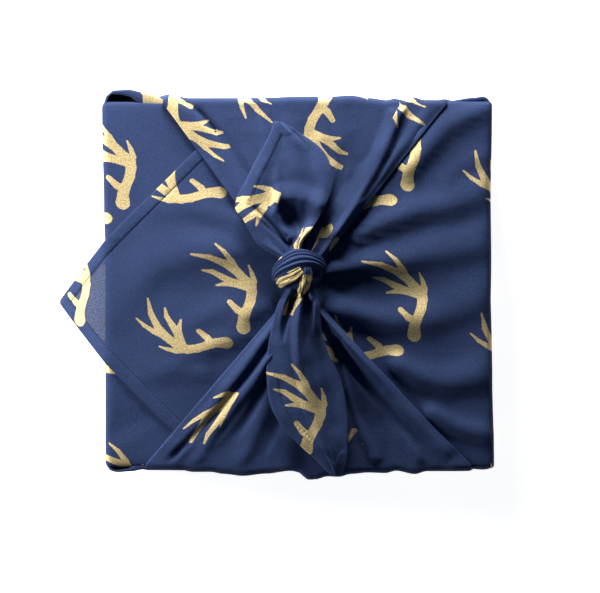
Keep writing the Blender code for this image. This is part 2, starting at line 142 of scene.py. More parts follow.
# How far the pockets' rims lie in over the box, in mm, and the bend at which they start.
LIP_BEND = 0.0014
FAR_LIP = (
    (-128, 0.6), (-118, 1.8), (-112, 3.4), (-107, 6.0), (-98, 7.0), (-90, 5.0), (-80, 3.0),
    (90, 2.0), (128, 1.6),
)
NEAR_LIP = ((-126, 0), (-116, 0.4), (-108, 3.0), (-100, 3.0), (110, 2.0), (128, 2.0))

# Soft creases, with paths in mm over the parcel, and widths and heights in mm at both ends.
LOWER_CREASES = rows_of(
    Crease,
    (((-128, -102), (-112, -95), (-98, -86)), (9, 7), (-0.9, -0.5)),
    (((-124, 40), (-118, -20), (-124, -80)), (9, 9), (0.35, 0.35)),
)
UPPER_CREASES = rows_of(
    Crease,
    (((150, 138), (124, 120), (100, 106), (86, 90), (76, 78)), (13, 9), (2.6, 4.0)),
    (((146, 92), (118, 84), (108, 78), (98, 69)), (7, 5), (1.6, 1.0)),
    (((152, 70), (127, 62), (105, 54), (80, 49), (57, 41), (40, 33)), (18, 8), (1.8, 4.8)),
    (((150, 32), (122, 27), (94, 21), (68, 16), (44, 14), (22, 9)), (20, 8), (1.4, 5.4)),
    (((150, 0), (120, -12), (88, -24), (62, -25), (38, -20), (18, -17)), (21, 9), (1.7, 5.4)),
    (((150, -56), (126, -62), (100, -67), (82, -63), (68, -54)), (18, 9), (3.2, 4.8)),
    (((150, -108), (124, -101), (104, -95), (90, -86)), (11, 7), (3.4, 4.0)),
    (((-18, 25), (-52, 22), (-70, 20), (-95, 14), (-112, -2), (-124, -18)), (9, 26), (3.2, 1.1)),
    (((-28, 38), (-50, 44), (-72, 52), (-88, 52)), (7, 13), (2.6, 1.0)),
    (((-24, 33), (-42, 34), (-56, 34)), (5, 7), (1.6, 0.9)),
    (((-20, -16), (-42, -22), (-66, -24), (-92, -32)), (9, 22), (3.0, 1.0)),
    (((-34, -34), (-56, -40), (-76, -46), (-94, -58)), (7, 17), (2.8, 1.4)),
    (((-62, -60), (-74, -60), (-86, -60)), (7, 9), (1.6, 0.8)),
)

FAR_FOLDS = rows_of(
    Fold,
    (0.29, 0.4, 0.07, 0.12, 0.001, 0.003), (0.43, 0.56, 0.05, 0.09, 0.0014, 0.003),
    (0.56, 0.66, 0.06, 0.09, 0.001, 0.002), (0.96, 0.94, 0.05, 0.09, 0.0014, 0.003),
)
FAR_CREASES = rows_of(
    Crease,
    (((-81, 125), (-59, 96), (-39, 64), (-23, 38)), (9, 5), (1.4, 2.6)),
    (((-73, 123), (-56, 103), (-43, 89), (-31, 71), (-21, 47)), (3.6, 3.4), (-2.4, -3.4)),
    (((-30, 124), (-27, 100), (-22, 78)), (5, 7), (-1.0, -0.4)),
    (((12, 124), (16, 104), (20, 84)), (6, 7), (-0.9, -0.4)),
    (((48, 122), (50, 104), (46, 88)), (7, 6), (-1.6, -1.0)),
    (((32, 86), (30, 70), (25, 57), (18, 45), (12, 33)), (5, 4), (-1.6, -2.8)),
    (((72, 122), (67, 110), (60, 91), (48, 71), (38, 54), (27, 36)), (8, 9), (3.2, 3.6)),
    (((78, 122), (73, 110), (65, 91), (54, 71), (45, 58)), (3.4, 2.4), (-2.6, -1.0)),
    (((62, 124), (64, 116)), (4, 3), (0.7, 0.2)),
)
FAR_BAND = Band(
    side=1,
    rim_left=-0.091,
    rim_right=0.0998,
    knot_left=Vector((-0.0185, 0.0235)),
    knot_right=Vector((0.0165, 0.016)),
    rim=FAR_RIM,
    crown=0.0034,
    folds=FAR_FOLDS,
    creases=FAR_CREASES,
)
NEAR_FOLDS = rows_of(
    Fold,
    (0.06, 0.11, 0.06, 0.11, 0.0012, 0.003), (0.44, 0.5, 0.06, 0.09, 0.0016, 0.003),
    (0.955, 0.93, 0.048, 0.09, 0.002, 0.003),
)
NEAR_CREASES = rows_of(
    Crease,
    (((-88, -120), (-79, -109), (-69, -98)), (3.4, 2.4), (-1.2, -0.6)),
    (((-86, -116), (-73, -104), (-57, -88), (-43, -71), (-31, -57), (-21, -43)),
     (3.4, 4.0), (-1.2, -2.8)),
    (((-70, -122), (-58, -100), (-44, -82), (-31, -66), (-19, -48)), (6, 6), (0.8, 3.2)),
    (((-53, -118), (-40, -98), (-32, -86), (-25, -73), (-18, -56)), (5, 4.6), (-1.4, -3.0)),
    (((-40, -122), (-30, -102), (-22, -84)), (7, 6), (0.9, 1.0)),
    (((-26, -118), (-19, -104), (-10, -86)), (6, 6), (-1.0, -1.6)),
    (((26, -40), (32, -76), (37, -94), (41, -110)), (5, 4), (-3.4, -2.0)),
    (((31, -60), (38, -87), (53, -117)), (4, 6), (1.8, 2.2)),
    (((28, -40), (35, -52), (45, -65), (57, -79), (69, -91), (82, -106)), (5, 4.5), (-4.2, -2.2)),
    (((57, -72), (70, -87), (84, -120)), (4, 6), (1.0, 2.0)),
    (((66, -122), (64, -104), (58, -90)), (4, 4), (-1.6, -1.2)),
    (((20, -24), (36, -41), (57, -61), (80, -86), (102, -111)), (7, 8), (3.2, 1.8)),
)
NEAR_BAND = Band(
    side=-1,
    rim_left=-0.1025,
    rim_right=0.115,
    knot_left=Vector((-0.015, -0.018)),
    knot_right=Vector((0.016, -0.015)),
    rim=NEAR_RIM,
    crown=0.0062,
    folds=NEAR_FOLDS,
    creases=NEAR_CREASES,
)

# The loose ends, from inside the knot to the tip. Each station is a point on the left edge and
# one on the right, with heights over the gathered cloth.
UPPER_END_STATIONS = (
    ((-0.006, 0.012, 0.013), (0.002, 0.018, 0.013)),
    ((-0.0142, 0.0189, 0.015), (0.0027, 0.0276, 0.0142)),
    ((-0.0273, 0.0276, 0.0145), (0.0085, 0.0362, 0.0132)),
    ((-0.0364, 0.0431, 0.0135), (0.014, 0.0445, 0.0126)),
    ((-0.042, 0.051, 0.0122), (0.0195, 0.055, 0.012)),
    ((-0.0404, 0.06, 0.0115), (0.0236, 0.066, 0.0112)),
    ((-0.0355, 0.069, 0.0105), (0.0225, 0.076, 0.0105)),
    ((-0.03, 0.0805, 0.0092), (0.02, 0.085, 0.0092)),
    ((-0.0236, 0.0923, 0.008), (0.014, 0.093, 0.008)),
    ((-0.0188, 0.102, 0.0068), (0.003, 0.101, 0.0068)),
    ((-0.0158, 0.11, 0.0058), (-0.01, 0.1094, 0.0058)),
)
UPPER_END_FOLDS = rows_of(
    Fold,
    (0.08, 0.15, 0.16, 0.2, 0.003, 0.0), (0.64, 0.6, 0.26, 0.3, -0.006, 0.004),
    (0.96, 0.9, 0.14, 0.2, 0.0044, 0.0),
)
UPPER_END_CREASES = rows_of(
    Crease,
    (((-29, 51), (-19, 42), (-8, 31)), (2.2, 1.8), (-1.6, -2.2)),
    (((-26, 43), (-17, 36), (-8, 28)), (2.0, 1.7), (-1.2, -1.8)),
    (((-15, 76), (-13, 66), (-13, 56), (-15, 48), (-11, 39), (-6, 31)), (4.0, 4.0), (0.6, 4.2)),
    (((-8, 59), (-1, 59), (7, 58), (14, 53)), (9, 8), (3.0, 2.4)),
    (((-5, 43), (1, 41), (8, 44)), (11, 10), (-6.0, -4.6)),
    (((-2, 42), (0, 35), (1, 28)), (2.4, 2.4), (1.0, 1.6)),
)
UPPER_END = End(
    stations=UPPER_END_STATIONS,
    folds=UPPER_END_FOLDS,
    creases=UPPER_END_CREASES,
    hem=((-36, 42), (-42, 51), (-37, 65), (-30, 80), (-23.6, 92.3), (-15.5, 110.2), (-8, 108.2)),
    roll=0.0011,
    fade=1.0,
)
LOWER_END_STATIONS = (
    ((-0.004, 0.004, 0.012), (0.006, 0.004, 0.012)),
    ((-0.0098, -0.0062, 0.0135), (0.0124, -0.008, 0.0135)),
    ((-0.014, -0.014, 0.014), (0.0146, -0.014, 0.015)),
    ((-0.0181, -0.0303, 0.013), (0.0158, -0.0303, 0.0135)),
    ((-0.0209, -0.0491, 0.011), (0.0215, -0.048, 0.0115)),
    ((-0.0209, -0.064, 0.0096), (0.0286, -0.063, 0.0096)),
    ((-0.0185, -0.081, 0.0086), (0.032, -0.078, 0.0086)),
    ((-0.01, -0.096, 0.008), (0.0338, -0.094, 0.0082)),
    ((0.001, -0.1075, 0.0076), (0.0335, -0.108, 0.0076)),
    ((0.012, -0.1175, 0.007), (0.0328, -0.119, 0.007)),
    ((0.0212, -0.1268, 0.006), (0.029, -0.128, 0.006)),
)
LOWER_END_FOLDS = rows_of(
    Fold,
    (0.13, 0.15, 0.18, 0.2, 0.004, 0.0), (0.34, 0.3, 0.15, 0.2, -0.006, 0.001),
    (0.52, 0.5, 0.13, 0.3, 0.0034, 0.004), (0.7, 0.7, 0.13, 0.2, -0.0056, 0.0),
    (0.9, 0.85, 0.15, 0.2, 0.006, 0.0), (0.42, 0.42, 0.6, 0.62, 0.0, 0.0028),
)
LOWER_END_CREASES = rows_of(
    Crease,
    (((-4, -10), (-8, -24), (-10, -36)), (3.0, 2.2), (-3.6, -0.8)),
    (((3, -10), (1.5, -26), (0, -44), (2, -58)), (2.6, 4.5), (1.8, 0.4)),
    (((9.5, -12), (8.5, -24), (6, -36)), (3, 2.4), (-2.8, -0.8)),
    (((14, -34), (18, -54), (24, -74), (26, -96)), (4, 6), (-1.2, -0.5)),
    (((-12, -40), (-6, -58), (4, -76)), (6, 9), (0.9, 0.3)),
)
LOWER_END = End(
    stations=LOWER_END_STATIONS,
    folds=LOWER_END_FOLDS,
    creases=LOWER_END_CREASES,
    hem=((-21, -66), (-18.5, -81), (-10, -96), (1, -107.5), (12, -117.5), (23.5, -129.5),
         (32.5, -127), (33.4, -118)),
    roll=0.0011,
    fade=0.4,
)

# Where the print shows on the gathered cloth: a share of the width and of the length, where the
# antler's base would lie in plan, and how far it is turned, in degrees.
FAR_PATCHES = rows_of(
    Patch,
    (0.0, 1.0, -9.0, -1.0, (0.028, 0.19), 180), (0.0, 0.15, -1.0, 0.45, (-0.084, 0.134), 190),
    (0.24, 0.4, -1.0, 0.3, (-0.0196, 0.1666), 146),
    (0.4, 0.73, -1.0, 0.75, (0.0182, 0.1274), 172), (0.84, 1.0, -1.0, 0.25, (0.074, 0.163), 160),
    (0.74, 1.0, 0.72, 0.98, (0.036, 0.036), 105),
)
NEAR_PATCHES = rows_of(
    Patch,
    (0.0, 1.0, -9.0, -1.0, (-0.03, -0.187), 0), (0.0, 0.16, 0.14, 0.5, (-0.029, -0.084), 86),
    (0.04, 0.26, 0.76, 0.92, (-0.0205, -0.035), -90),
    (0.73, 0.78, 0.66, 0.84, (0.0164, -0.0085), -163),
    (0.63, 0.71, 0.1, 0.24, (0.0904, -0.1025), 60),
)
UPPER_END_PATCHES = rows_of(
    Patch,
    (0.9, 1.0, 0.0, 0.23, (0.0022, 0.027), -20), (0.0, 0.36, 0.14, 0.4, (0.0033, 0.0411), 60),
    (0.0, 0.48, 0.4, 0.8, (0.0033, 0.0411), 60),
)
LOWER_END_PATCHES = rows_of(
    Patch,
    (0.16, 0.62, 0.0, 0.24, (0.0056, 0.0014), 165), (0.0, 1.0, 0.36, 1.0, (0.0055, -0.109), -7),
)

# The knot is a ball with turns of cloth round it. A path is in directions from its middle, and
# the half angles along it are the strip's half width, in radians.
KNOT_CENTRE = Vector((0.0005, 0.0098, 0.0747))
KNOT_RADII = Vector((0.0143, 0.0142, 0.0098))
PLEAT_WIDTH = 0.16
PLEAT_DEPTH = 0.0011
WRAPS = (
    Wrap(
        path=((-0.97, -0.44, -0.3), (-0.97, -0.14, 0.25), (-0.62, 0.26, 0.75),
              (-0.08, 0.52, 0.86), (0.45, 0.5, 0.74), (0.9, 0.28, 0.34), (1.0, 0.05, -0.3)),
        half_angles=(0.22, 0.36, 0.5, 0.56, 0.5, 0.36, 0.26),
        thickness=0.0042,
        pleats=(-0.7, -0.4, -0.06, 0.34, 0.68),
        patches=(Patch(-2.0, -0.66, 0.1, 0.42, (0.0146, -0.0132), 35),),
    ),
    Wrap(
        path=((0.34, 0.1, 0.94), (0.33, -0.28, 0.9), (0.26, -0.64, 0.72), (0.1, -0.95, 0.25)),
        half_angles=(0.26, 0.32, 0.27, 0.18),
        thickness=0.0034,
        pleats=(0.1, 0.62),
        patches=(Patch(-2.0, 2.0, 0.0, 1.0, (0.0056, 0.0014), 165),),
    ),
    Wrap(
        path=((-0.9, -0.66, -0.15), (-0.76, -0.5, 0.42), (-0.34, -0.28, 0.9),
              (0.12, 0.0, 0.99)),
        half_angles=(0.2, 0.33, 0.31, 0.22),
        thickness=0.0032,
        pleats=(-0.55, 0.05),
        patches=(Patch(-2.0, 2.0, 0.0, 1.0, (0.0138, -0.0167), 35),),
    ),
    Wrap(
        path=((1.0, 0.22, 0.05), (0.95, -0.22, 0.28), (0.76, -0.62, 0.4), (0.42, -0.92, 0.1)),
        half_angles=(0.34, 0.38, 0.34, 0.2),
        thickness=0.002,
        pleats=(-0.2, 0.45),
        patches=(),
    ),
)

# The knot lifts the cloth that it is tied over and pulls fine wrinkles into it, and the hollow of
# the upper end presses the far gathered corner down.
TENT_HEIGHT = 0.0046
TENT_REACH = 0.12
PULL_HEIGHT = 0.0026
PULL_REACH = 0.06
PRESSED_AT = (0.0, 0.046)
PRESSED_REACH = 0.03
PRESSED_DEPTH = 0.008

# The bend of the gathered corners at the rim, and the width at which a loose end has full folds.
RIM_BEND = 0.0045
FULL_WIDTH = 0.03

# How close a point may lie to a cut, and how close two points are joined.
CUT_SNAP = 1e-7
WELD = 0.000002

# The antler that is printed on the cloth, in mm: each limb's (x, y, radius), from its root out.
ANTLER = (
    ((0.0, -1.0, 4.3), (0.4, 4.6, 3.2), (2.8, 10.6, 2.7), (5.6, 17.0, 2.8), (6.8, 23.4, 3.0),
     (5.2, 28.6, 3.1)),
    ((1.6, 7.6, 2.3), (-3.4, 10.4, 1.9), (-8.4, 15.4, 1.4)),
    ((7.2, 24.6, 2.2), (8.4, 30.4, 1.6), (7.4, 35.4, 1.0), (5.4, 40.6, 0.2)),
    ((4.6, 28.0, 3.2), (-2.0, 35.6, 2.5), (-10.4, 41.2, 2.0), (-20.6, 45.0, 1.4),
     (-33.0, 46.6, 0.2)),
    ((-2.6, 36.0, 2.2), (-6.0, 43.0, 1.6), (-10.6, 49.2, 1.0), (-16.4, 54.2, 0.2)),
    ((4.2, 26.4, 2.7), (-4.6, 28.4, 2.2), (-12.4, 32.0, 1.7), (-18.8, 35.2, 1.2),
     (-26.0, 36.2, 0.2)),
    ((-4.6, 28.0, 1.8), (-10.4, 27.8, 1.2), (-17.0, 26.4, 0.2)),
)


def smooth(share):
    """An S-shaped rise from 0 to 1."""
    share = min(1.0, max(0.0, share))
    return share * share * (3.0 - 2.0 * share)


def blend(low, high, share):
    return low + (high - low) * share


def bump(place, centre, half_width):
    """A rounded ridge, 1 at its centre and 0 beyond its half width."""
    away = min(1.0, abs(place - centre) / half_width)
    return cos(away * pi / 2) ** 2


def quarter(radius):
    """The length of a quarter of a circle."""
    return radius * pi / 2


def steps(low, high, count):
    return [blend(low, high, index / count) for index in range(count + 1)]


def through(points, share):
    """A point at that share of a smooth curve through the points (Catmull-Rom)."""
    place = min(max(share, 0.0), 1.0) * (len(points) - 1)
    start = min(int(place), len(points) - 2)
    t = place - start
    before, a = Vector(points[max(start - 1, 0)]), Vector(points[start])
    b, after = Vector(points[start + 1]), Vector(points[min(start + 2, len(points) - 1)])
    linear = (b - before) * 0.5
    square = before - a * 2.5 + b * 2.0 - after * 0.5
    cube = (after - before) * 0.5 + (a - b) * 1.5
    return a + (linear + (square + cube * t) * t) * t


def read_off(table, place):
    """The value that a table of (place, value) pairs has at a place, eased between pairs."""
    if place <= table[0][0]:
        return table[0][1]
    for (x0, y0), (x1, y1) in zip(table, table[1:]):
        if place <= x1:
            return blend(y0, y1, smooth((place - x0) / (x1 - x0)))
    return table[-1][1]


def nearest_on(path, x, y):
    """How far a place lies from a path of points, how far along the path that is, 0 to 1, and
    how much the place is on the path's far left side, 0 to 1."""
    best, along, lean = 1e9, 0.0, 0.0
    for index, ((x0, y0), (x1, y1)) in enumerate(zip(path, path[1:])):
        dx, dy = x1 - x0, y1 - y0
        t = min(1.0, max(0.0, ((x - x0) * dx + (y - y0) * dy) / (dx * dx + dy * dy)))
        off_x, off_y = x - x0 - t * dx, y - y0 - t * dy
        away = hypot(off_x, off_y)
        if away < best:
            best, along = away, (index + t) / (len(path) - 1)
            lean = smooth(0.5 + 0.5 * (off_y - 0.6 * off_x) / (away + 0.2))
    return best, along, lean


def crease_height(creases, x, y):
    """How far the creases raise the cloth at a place, in metres. They lean: the far left side
    of each is the wider and softer one."""
    total = 0.0
    for crease in creases:
        away, along, lean = nearest_on(crease.path, x / MM, y / MM)
        width = blend(*crease.widths, along) * blend(0.75, 1.35, lean)
        if away < width:
            fall = cos(away / width * pi / 2) ** blend(1.4, 2.0, lean)
            total += blend(*crease.heights, along) * fall
    return total * MM


def tent(x, y):
    """How far the knot lifts the cloth that it is tied over."""
    away = hypot(x - KNOT_CENTRE.x, y - KNOT_CENTRE.y)
    return TENT_HEIGHT * max(0.0, 1.0 - away / TENT_REACH) ** 1.2


def pull(x, y):
    """Fine wrinkles that spread from the knot, lower with the distance."""
    from_knot = Vector((x, y)) - KNOT_CENTRE.xy
    length = max(from_knot.length, 1e-4)
    spoke = from_knot / length * 5.5
    wrinkle = noise.noise(Vector((spoke.x, spoke.y, length * 14.0)))
    return wrinkle * PULL_HEIGHT * exp(-length / PULL_REACH)


def waver(x, y, z, size, height):
    """A gentle unevenness of the cloth, of that size and height."""
    return noise.noise(Vector((x, y, z)) / size) * height


def settle(point):
    """The parcel's sides aren't quite straight: moves a point with the side that it is near. The
    cloth round the middle stays."""
    reach = smooth((abs(point.x) - 0.085) / 0.045)
    out = read_off(RIGHT_OUT if point.x > 0 else LEFT_OUT, point.y / MM) * MM - SIDE_X
    return Vector((point.x + copysign(out * reach, point.x), point.y, point.z))


class Cloth:
    """Sheets of cloth that are laid one by one and then joined."""

    def __init__(self):
        self.sheets = []

    def lay(self, name, across, along, place, outward, trims=(), cuts=(), stamp=None):
        """Lays a grid over two lists of places. The place function gives a point, its place in
        the print and its distances from and along a hem. Trims remove what lies past a line, and
        cuts only add edges along one. A stamp moves the print, face by face."""
        shape = bmesh.new()
        columns, rows = len(across) - 1, len(along) - 1
        bmesh.ops.create_grid(shape, x_segments=columns, y_segments=rows, size=1.0)
        for vert in shape.verts:
            column, row = (round((value + 1.0) / 2.0 * count)
                           for value, count in ((vert.co.x, columns), (vert.co.y, rows)))
            vert.co = (across[column], along[row], 0.0)
        for lines, clear in ((trims, True), (cuts, False)):
            for co, normal in lines:
                bmesh.ops.bisect_plane(
                    shape, geom=shape.verts[:] + shape.edges[:] + shape.faces[:], dist=CUT_SNAP,
                    plane_co=(*co, 0.0), plane_no=(*normal, 0.0), clear_outer=clear,
                )
        laid = {vert: place(vert.co.x, vert.co.y) for vert in shape.verts}
        print_map = shape.loops.layers.uv.new("print")
        seam_map = shape.loops.layers.uv.new("seam")
        for face in shape.faces:
            face.smooth = True
            middle = face.calc_center_median()
            for loop in face.loops:
                _, flat, loop[seam_map].uv = laid[loop.vert]
                loop[print_map].uv = stamp(middle.x, middle.y, flat) if stamp else flat
        for vert, (point, _, _) in laid.items():
            vert.co = settle(point)
        shape.normal_update()
        facing = sum(face.normal.dot(outward(face.calc_center_median())) for face in shape.faces)
        if facing < 0.0:
            bmesh.ops.reverse_faces(shape, faces=shape.faces)
        self.sheets.append(make_object(name, shape))

    def join(self, name):
        """One object of all the sheets, welded where they meet."""
        first = self.sheets[0]
        chosen = {"selected_objects": self.sheets, "selected_editable_objects": self.sheets}
        with bpy.context.temp_override(active_object=first, object=first, **chosen):
            bpy.ops.object.join()
        first.name = first.data.name = name
        shape = bmesh.new()
        shape.from_mesh(first.data)
        bmesh.ops.remove_doubles(shape, verts=shape.verts, dist=WELD)
        shape.to_mesh(first.data)
        shape.free()
        return first


def add_object(name, data):
    made = bpy.data.objects.new(name, data)
    bpy.context.scene.collection.objects.link(made)
    return made


def make_object(name, shape):
    """An object of a shape that was built here."""
    mesh = bpy.data.meshes.new(name)
    shape.to_mesh(mesh)
    shape.free()
    return add_object(name, mesh)


def printed(x, y):
    """The place in the print of a place on the flat cloth."""
    return x + SKEW * y, y + SKEW * x


def printed_turned(x, y, degrees, base):
    """The same for cloth that lies turned, where one antler's base is at the given place."""
    turned = Matrix.Rotation(-radians(degrees), 2) @ (Vector((x, y)) - Vector(base))
    return UPRIGHT_BASE[0] + turned.x, UPRIGHT_BASE[1] + turned.y


def right_drift(x, y):
    """How far the print moves where the folds draw the cloth in at the right edge."""
    share = smooth((x - 0.092) / 0.018)
    return RIGHT_DRIFT[0] * share, RIGHT_DRIFT[1] * share * smooth((y + 0.02) / 0.05)


def stamped(patches, share, along, flat):
    """The place in the print on a folded sheet: each patch of it shows one antler, and the rest
    is plain."""
    for patch in patches:
        if patch.low <= share <= patch.high and patch.start <= along <= patch.end:
            return printed_turned(*flat, patch.angle, patch.base)
    return flat[0] + PLAIN, flat[1]


def up(_):
    return Vector((0.0, 0.0, 1.0))


# The walls and the underside. The distances go round from the middle of the left or right side,
# first along that side, and then past the corner to the middle of the far or near side.

WALL_BEND = quarter(BOTTOM_BEND)
STRAIGHT_X, STRAIGHT_Y = SIDE_X - CORNER, SIDE_Y - CORNER
PAST_SIDE = [0.1175] + [STRAIGHT_Y + quarter(CORNER) * share / 4 for share in range(5)]
PAST_SIDE += [STRAIGHT_Y + quarter(CORNER) + 0.002 * index for index in range(1, 25)]
PAST_SIDE += [STRAIGHT_Y + quarter(CORNER) + step
              for step in (0.054, 0.062, 0.072, 0.085, 0.1, 0.115, 0.127)]
SIDE_STEPS = steps(-0.116, 0.116, 50)
WALL_TOP = ROOT_Z - BOTTOM_BEND + WALL_BEND
WALL_ROWS = [-0.012, -0.0025] + steps(0.0, WALL_BEND, 4)
WALL_ROWS += [0.008, 0.014, 0.021, 0.028, 0.035, 0.042, 0.048, 0.0525, WALL_TOP]
LIP_ROWS = [0.0, 0.25, 0.5, 0.75, 1.0, 1.4, 2.0]
FLOOR_GAP = 0.00005


def wall_place(side, around):
    """A place in plan on the wall, at a distance round from the middle of its side."""
    sign, past = copysign(1.0, around), abs(around) - STRAIGHT_Y
    if past <= 0.0:
        return side * SIDE_X, around
    if past < quarter(CORNER):
        angle = past / CORNER
        return (side * (STRAIGHT_X + CORNER * cos(angle)),
                sign * (STRAIGHT_Y + CORNER * sin(angle)))
    return side * (STRAIGHT_X - (past - quarter(CORNER))), sign * SIDE_Y


def wall_point(side, a, b):
    """A point of the wall, at a distance round and one up."""
    x, y = wall_place(side, a)
    if b < WALL_BEND:
        angle = max(0.0, b) / BOTTOM_BEND
        inset = BOTTOM_BEND * (1.0 - sin(angle)) - min(0.0, b)
        z = BOTTOM_BEND * (1.0 - cos(angle))
    else:
        inset, z = 0.0, b - WALL_BEND + BOTTOM_BEND
    z = max(z, THICKNESS + FLOOR_GAP)
    share = z / ROOT_Z
    end = 1.0 if y > 0 else -1.0
    is_end = smooth((abs(y) - SIDE_Y * 0.955) / (SIDE_Y * 0.045))
    out = read_off(FAR_POCKETS if end > 0 else NEAR_POCKETS, x / MM) * MM * smooth(share) ** 1.5
    # Past the corners the rim is free of the folded sheets and stands a little higher.
    free = smooth((abs(a) - 0.1165) / 0.01)
    higher = 0.003 if end > 0 or side < 0 else 0.0004
    z += higher * free * smooth((share - 0.7) / 0.3)
    soft = waver(a * 1.4, z * 0.8, side, 0.035, 0.0011) * share * (1.0 - share) * 4.0
    reach_x, reach_y = ((abs(value) - inset) / max(abs(value), 1e-6) for value in (x, y))
    if abs(a) < STRAIGHT_Y + quarter(CORNER) * 0.7 or abs(x) > 0.12:
        x *= reach_x
    if abs(a) > STRAIGHT_Y * 0.98:
        y *= reach_y
    point = Vector((x + side * soft * (1.0 - is_end), y + end * is_end * (out + soft), z))
    shift = right_drift(SIDE_X, a) if side > 0 else LOWER_SHIFT
    flat = printed(side * (SIDE_X + UPPER_TOP - b) + shift[0], a + shift[1])
    return point, flat, NO_SEAM


def lip_point(side, a, b):
    """The rim of a pocket, which rolls in and lies down towards the folded corner."""
    point, flat, seam = wall_point(side, a, WALL_TOP)
    x, y = wall_place(side, a)
    at_side = smooth((abs(x) - 0.124) / 0.005)
    inward = Vector((-copysign(1.0, x) * at_side, -copysign(1.0, y), 0.0))
    angle, over = min(b, 1.0) * pi / 2, max(0.0, b - 1.0)
    widths = FAR_LIP if y > 0 else NEAR_LIP
    reach = LIP_BEND * (1.0 - cos(angle)) + over * read_off(widths, x / MM) * MM
    point += inward * reach + Vector((0.0, 0.0, LIP_BEND * sin(angle) - 0.0004 * over))
    if point.x < LIP_PRINT_END and y > 0.0:
        return point, printed_turned(point.x, point.y, *LIP_PRINT), seam
    return point, (flat[0], flat[1] + reach), seam


def make_walls(cloth):
    around = [-place for place in reversed(PAST_SIDE)] + SIDE_STEPS + PAST_SIDE
    for side in (-1, 1):
        cloth.lay(f"walls_{side}", around, WALL_ROWS, partial(wall_point, side),
                  lambda centre: Vector((centre.x / SIDE_X, centre.y / SIDE_Y, 0.0)))
        for end in (-1, 1):
            places = [a * end for a in PAST_SIDE][::end]
            cloth.lay(f"lip_{side}_{end}", places, LIP_ROWS, partial(lip_point, side),
                      lambda centre, end=end: Vector((0.0, end * 0.7, 1.0)))

    def underside(a, b):
        return Vector((a, b, 0.0)), printed(a + 0.3, b + 0.02), NO_SEAM

    half_x, half_y = SIDE_X - BOTTOM_BEND - 0.006, SIDE_Y - BOTTOM_BEND - 0.006
    cloth.lay("underside", steps(-half_x, half_x, 12), steps(-half_y, half_y, 12), underside,
              lambda centre: Vector((0.0, 0.0, -1.0)))


# The corners that are folded over the box. Near and far are where a flap turns down over those
# edges, and its ending is what its tip does. The shift and the slack move its print, and the
# hollow is how far its creases may sink.


def flap_section(flap, gone):
    """The flap's section at a distance from its root: x, z and the direction that it faces."""
    side, top = flap.side, flap.top
    wall, turn = flap_wall(flap), quarter(EDGE_BEND)
    if gone < wall:
        return side * SIDE_X, ROOT_Z + gone, Vector((side, 0.0, 0.0))
    if gone < wall + turn:
        angle = (gone - wall) / EDGE_BEND
        x = SIDE_X - EDGE_BEND * (1.0 - cos(angle))
        return (side * x, top - EDGE_BEND * (1.0 - sin(angle)),
                Vector((side * cos(angle), 0.0, sin(angle))))
    return flap.ending(side, SIDE_X - EDGE_BEND - (gone - wall - turn), top)


def overhang(side, x, top):
    """The upper flap's end, which hangs down past the left edge."""
    start, slope = -SIDE_X + TIP_BEND * 0.4, radians(TIP_SLOPE)
    past = start - x
    if past <= 0.0:
        return side * x, top, Vector((0.0, 0.0, 1.0))
    turn = min(past / TIP_BEND, slope)
    left = past - turn * TIP_BEND
    droop = slope + left * 2.5
    x = start - TIP_BEND * sin(turn) - left * cos((slope + droop) / 2)
    z = top - TIP_BEND * (1.0 - cos(turn)) - left * sin((slope + droop) / 2)
    tilt = turn if left <= 0.0 else droop
    return side * x, z, Vector((-side * sin(tilt), 0.0, cos(tilt)))


def tucked(side, x, top):
    """The lower flap's end, which is tucked down inside the wall of the other side."""
    past = -x - (TUCK_X - TURN_BEND)
    if past <= 0.0:
        return side * x, top, Vector((0.0, 0.0, 1.0))
    angle = min(past / TURN_BEND, pi / 2)
    down = max(0.0, past - quarter(TURN_BEND))
    return (
        -side * (TUCK_X - TURN_BEND * (1.0 - sin(angle))),
        top - TURN_BEND * (1.0 - cos(angle)) - down,
        Vector((-side * sin(angle), 0.0, cos(angle))),
    )


def hem_height(away):
    """How far the folded and sewn edge raises the cloth, by the distance from it. It is rounded
    at the edge and has a groove at its stitches."""
    if away > HEM_CUTS[-1]:
        return 0.0
    edge = smooth(away / 0.0009)
    fall = 1.0 - smooth((away - HEM + 0.0012) / 0.001)
    groove = bump(away, HEM, 0.0007) * 0.0001
    return HEM_RISE * (0.35 + 0.65 * edge) * fall - groove


Flap = namedtuple("Flap", "side top near far reach rows ending creases shift slack hollow")
LOWER_FLAP = Flap(
    side=-1, top=LOWER_TOP, near=0.12, far=0.1208, reach=LOWER_REACH, rows=60, ending=tucked,
    creases=LOWER_CREASES, shift=LOWER_SHIFT, slack=0.016, hollow=-0.0008,
)
UPPER_FLAP = Flap(
    side=1, top=UPPER_TOP, near=0.1208, far=0.121, reach=UPPER_REACH, rows=80, ending=overhang,
    creases=UPPER_CREASES, shift=(0.0, 0.0), slack=0.0, hollow=-0.0002,
)


def flap_wall(flap):
    """How far a flap goes up before its bend."""
    return flap.top - EDGE_BEND - ROOT_Z


